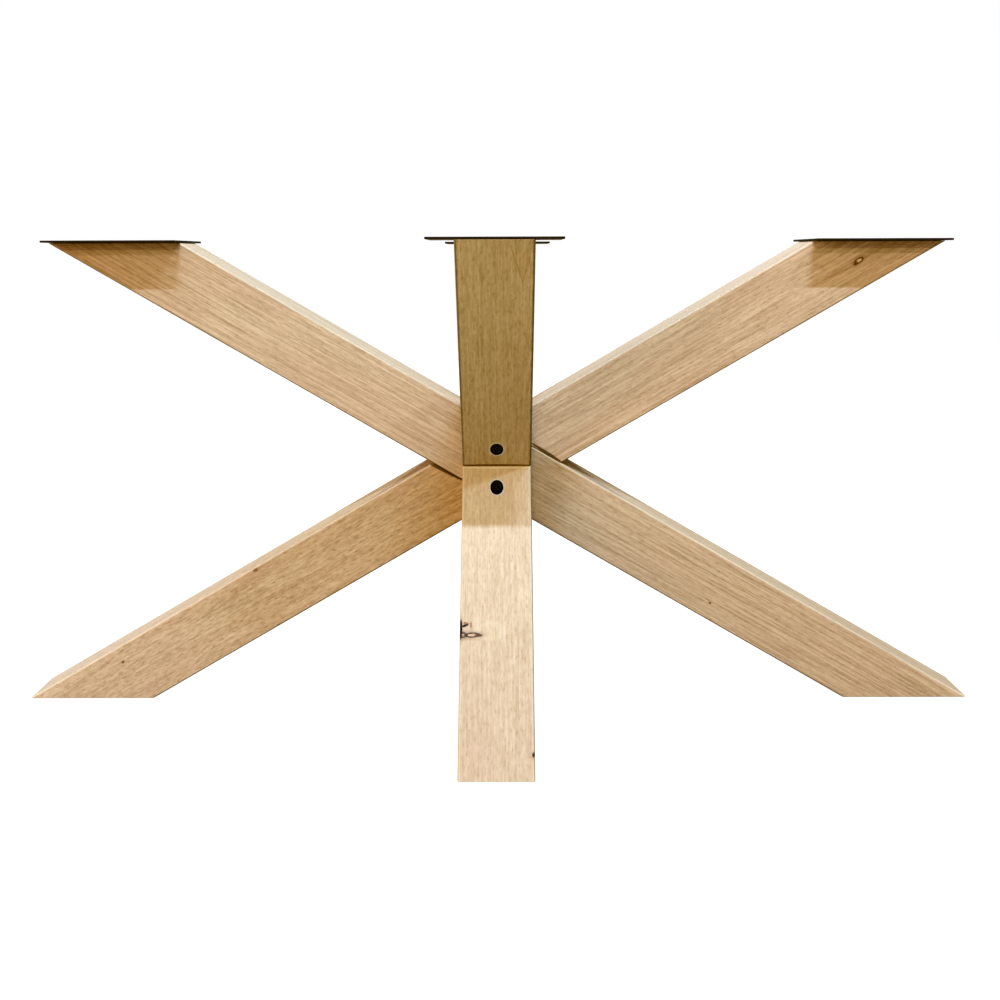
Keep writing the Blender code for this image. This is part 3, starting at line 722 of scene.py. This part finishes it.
def makePlateSteel():
    material, tree, shader = newMaterial("blackened_plate")
    place = objectPlace(tree)
    cloud = noise(tree, place, plateLook["cloudStretch"], 4, 0.6)
    share = spread(tree, cloud, 0.35, 0.7)
    colour = blendColour(tree, share, plateLook["coat"], plateLook["cloud"])
    setSocket(tree, shader.inputs["Base Color"], colour)
    roughness = spread(tree, cloud, 0.3, 0.7, *plateLook["roughness"])
    setSocket(tree, shader.inputs["Roughness"], roughness)
    shader.inputs["Metallic"].default_value = plateLook["metallic"]
    addBump(tree, shader, plateLook, noise(tree, place, plateLook["speckStretch"]))
    return material


# The bolts sit in the dark of their bores, the screws lie open in the plates
fastenerLooks = {
    "screw": {"dark": (0.018, 0.018, 0.020), "pale": (0.050, 0.048, 0.047)},
    "bolt": {"dark": (0.022, 0.012, 0.042), "pale": (0.046, 0.032, 0.064)},
}
oxideLook = {"cloudStretch": (260, 260, 260), "roughness": (0.3, 0.48), "metallic": 0.9}


def makeFastenerSteel(kind):
    material, tree, shader = newMaterial("black_oxide_" + kind)
    look = fastenerLooks[kind]
    cloud = noise(tree, objectPlace(tree), oxideLook["cloudStretch"], 3, 0.6)
    colour = blendColour(tree, spread(tree, cloud, 0.35, 0.7), look["dark"], look["pale"])
    setSocket(tree, shader.inputs["Base Color"], colour)
    roughness = spread(tree, cloud, 0.3, 0.7, *oxideLook["roughness"])
    setSocket(tree, shader.inputs["Roughness"], roughness)
    shader.inputs["Metallic"].default_value = oxideLook["metallic"]
    return material


plateSteel = makePlateSteel()
fastenerSteels = {kind: makeFastenerSteel(kind) for kind in fastenerLooks}
for name, node in nodes.items():
    if name.endswith("top_plate"):
        dress(node, plateSteel)
    for kind, steel in fastenerSteels.items():
        if kind in name:
            dress(node, steel)
print("steel dressed")


# The floor and the room are white to the camera, and send their own tints to the part.
# Lengths are in metres.
stageLook = {
    "seenWhite": 1.0,
    "seenShade": (0.12, 0.12, 0.12),  # lets a trace of the lamps' light and shade show
    "floorBounce": (0.42, 0.30, 0.18),
    "floorRoughness": 0.9,
    "floorSpecular": 0.1,
    "floorSize": 16.0,
    "floorGap": 0.0005,  # under the feet
    "ambient": (0.34, 0.35, 0.28),
}


# One shader for what the camera sees and another for the light that the part gets

def forCamera(tree, others, seen):
    pick = addNode(tree, "ShaderNodeMixShader")
    cameraRay = addNode(tree, "ShaderNodeLightPath").outputs["Is Camera Ray"]
    for socket, source in zip(pick.inputs, (cameraRay, others, seen)):
        tree.links.new(source, socket)
    return pick.outputs[0]


def makeFloor():
    bm = bmesh.new()
    half = stageLook["floorSize"] / 2
    ground = cadLow.z - stageLook["floorGap"]
    corners = ((-half, -half), (half, -half), (half, half), (-half, half))
    bm.faces.new([bm.verts.new((x, y, ground)) for x, y in corners])
    mesh = bpy.data.meshes.new("floor")
    bm.to_mesh(mesh)
    bm.free()
    floor = bpy.data.objects.new("floor", mesh)
    bpy.context.scene.collection.objects.link(floor)

    material, tree, shader = newMaterial("pale_floor")
    shader.inputs["Base Color"].default_value = (*stageLook["floorBounce"], 1)
    shader.inputs["Roughness"].default_value = stageLook["floorRoughness"]
    shader.inputs["Specular IOR Level"].default_value = stageLook["floorSpecular"]
    white = addNode(
        tree, "ShaderNodeEmission", Color=(1, 1, 1), Strength=stageLook["seenWhite"]
    )
    shade = addNode(tree, "ShaderNodeBsdfDiffuse", Color=stageLook["seenShade"])
    seen = addNode(tree, "ShaderNodeAddShader")
    tree.links.new(white.outputs[0], seen.inputs[0])
    tree.links.new(shade.outputs[0], seen.inputs[1])
    surface = forCamera(tree, shader.outputs[0], seen.outputs[0])
    tree.links.new(surface, tree.nodes["Material Output"].inputs["Surface"])
    dress(floor, material)


def makeRoom():
    world = bpy.data.worlds.new("pale_room")
    bpy.context.scene.world = world
    world.use_nodes = True
    tree = world.node_tree
    tree.nodes.clear()
    ambient = addNode(tree, "ShaderNodeBackground", Color=stageLook["ambient"], Strength=1.0)
    white = addNode(
        tree, "ShaderNodeBackground", Color=(1, 1, 1), Strength=stageLook["seenWhite"]
    )
    surface = forCamera(tree, ambient.outputs[0], white.outputs[0])
    tree.links.new(surface, addNode(tree, "ShaderNodeOutputWorld").inputs["Surface"])


makeFloor()
makeRoom()


# Strip lamps along X, in rows as on a workshop ceiling, and a wall to the left that sends back
# warm light. Lengths are in metres, power in watts. swing turns a lamp's beam to the left, in
# degrees.
lampAim = Vector((0, 0, 0.45))
lampLooks = {
    "front_row": {
        "place": (1.2, -8.05, 15.6), "size": (3.6, 0.3), "swing": 0,
        "power": 3130, "colour": (0.48, 0.66, 1.0),
    },
    "side_row": {
        "place": (9.6, -8.05, 15.6), "size": (3.2, 0.3), "swing": 0,
        "power": 1750, "colour": (0.54, 0.74, 1.0),
    },
    "second_row": {
        "place": (-0.5, -8.0, 4.7), "size": (2.4, 0.15), "swing": 0,
        "power": 128, "colour": (1.0, 0.96, 0.95),
    },
    "third_row": {
        "place": (-0.5, -13.2, 4.7), "size": (2.4, 0.2), "swing": 0,
        "power": 330, "colour": (0.95, 1.0, 0.50),
    },
    "rear_row": {
        "place": (0, 3.6, 4.7), "size": (2.4, 0.15), "swing": 0,
        "power": 245, "colour": (0.80, 0.92, 1.0),
    },
    "warm_wall": {
        "place": (-5, -4, 1.8), "size": (3, 2.4), "swing": -51,
        "power": 168, "colour": (1.0, 0.70, 0.53),
    },
}


def makeLamps():
    for name, look in lampLooks.items():
        data = bpy.data.lights.new(name, "AREA")
        data.shape = "RECTANGLE"
        data.size, data.size_y = look["size"]
        data.energy = look["power"]
        data.color = look["colour"]
        lamp = bpy.data.objects.new(name, data)
        lamp.location = look["place"]
        swing = math.radians(look["swing"])
        aim = lampAim - Vector(look["place"])
        reach = aim.dot(Vector((-math.sin(swing), math.cos(swing), 0)))
        lamp.rotation_euler = (math.atan2(reach, -aim.z), 0, swing)
        bpy.context.scene.collection.objects.link(lamp)


# Angles are in degrees, lens and film in millimetres
cameraLook = {
    "place": (0.0133, -2.0839, 0.6953),
    "down": 10.415,  # below level
    "side": -0.249,  # to the right of straight ahead
    "tilt": -0.165,
    "lens": 47.74,
    "film": 36.0,
}


def makeCamera():
    down, side, tilt = (math.radians(cameraLook[part]) for part in ("down", "side", "tilt"))
    level = Vector((math.cos(side), -math.sin(side), 0))
    ahead = Vector((
        math.sin(side) * math.cos(down), math.cos(side) * math.cos(down), -math.sin(down)
    ))
    right = level * math.cos(tilt) + level.cross(ahead) * math.sin(tilt)
    data = bpy.data.cameras.new("camera")
    data.sensor_width = cameraLook["film"]
    data.lens = cameraLook["lens"]
    camera = bpy.data.objects.new("camera", data)
    turn = Matrix((right, right.cross(ahead), -ahead)).transposed()
    camera.matrix_world = Matrix.Translation(cameraLook["place"]) @ turn.to_4x4()
    bpy.context.scene.collection.objects.link(camera)
    bpy.context.scene.camera = camera


makeLamps()
makeCamera()


# The photo's tone curve: deep shadows are pulled down, blue most of all, and white stays white.
# blueToe gives pairs of light that comes and light that is shown.
toneToe = 0.13
toneLights = (0.06, 0.15, 0.3, 0.5, 0.75)
blueToe = (
    (0.02, 0.004), (0.04, 0.018), (0.07, 0.06), (0.11, 0.108), (0.2, 0.2), (0.4, 0.4), (0.7, 0.7),
)


def setTone():
    view = bpy.context.scene.view_settings
    view.view_transform = "Standard"
    view.use_curve_mapping = True
    blue, allThree = view.curve_mapping.curves[2], view.curve_mapping.curves[3]
    for light in toneLights:
        allThree.points.new(light, (1 + toneToe) * light * light / (light + toneToe))
    for light, shown in blueToe:
        blue.points.new(light, shown)
    view.curve_mapping.update()


setTone()
print("lights, camera and tone set")
